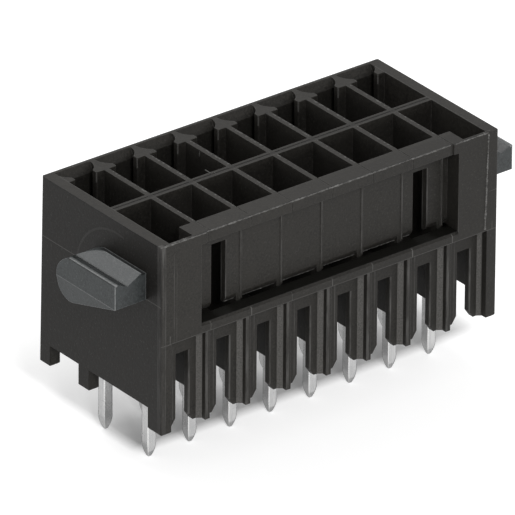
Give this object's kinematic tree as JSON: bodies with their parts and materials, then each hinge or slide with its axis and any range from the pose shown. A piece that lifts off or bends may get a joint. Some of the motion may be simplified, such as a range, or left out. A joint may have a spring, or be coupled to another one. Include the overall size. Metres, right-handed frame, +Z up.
{
  "type": "circuit board pin header",
  "caption": "Double-row male circuit board header: open keyed pockets on top, slotted recessed front, comb feet, side locking latches and square solder pins.",
  "frame": {"origin": "centre of the part's bounding box in plan, at the level of the solder pin tips", "axes": "+X along the row of contacts, recessed front faces -Y, +Z up out of the pockets"},
  "size_m": [0.0346, 0.0138, 0.0187],
  "materials": {
    "housing": "fine matte black moulded plastic",
    "latch": "satin dark grey moulded plastic",
    "contact": "bright tin plating"
  },
  "bodies": {
    "root": {"housing": "housing", "latch_left": "latch", "latch_right": "latch", "contact_front_1": "contact", "contact_front_2": "contact", "contact_front_3": "contact", "contact_front_4": "contact", "contact_front_5": "contact", "contact_front_6": "contact", "contact_front_7": "contact", "contact_front_8": "contact", "contact_back_1": "contact", "contact_back_2": "contact", "contact_back_3": "contact", "contact_back_4": "contact", "contact_back_5": "contact", "contact_back_6": "contact", "contact_back_7": "contact", "contact_back_8": "contact"}
  },
  "joints": []
}
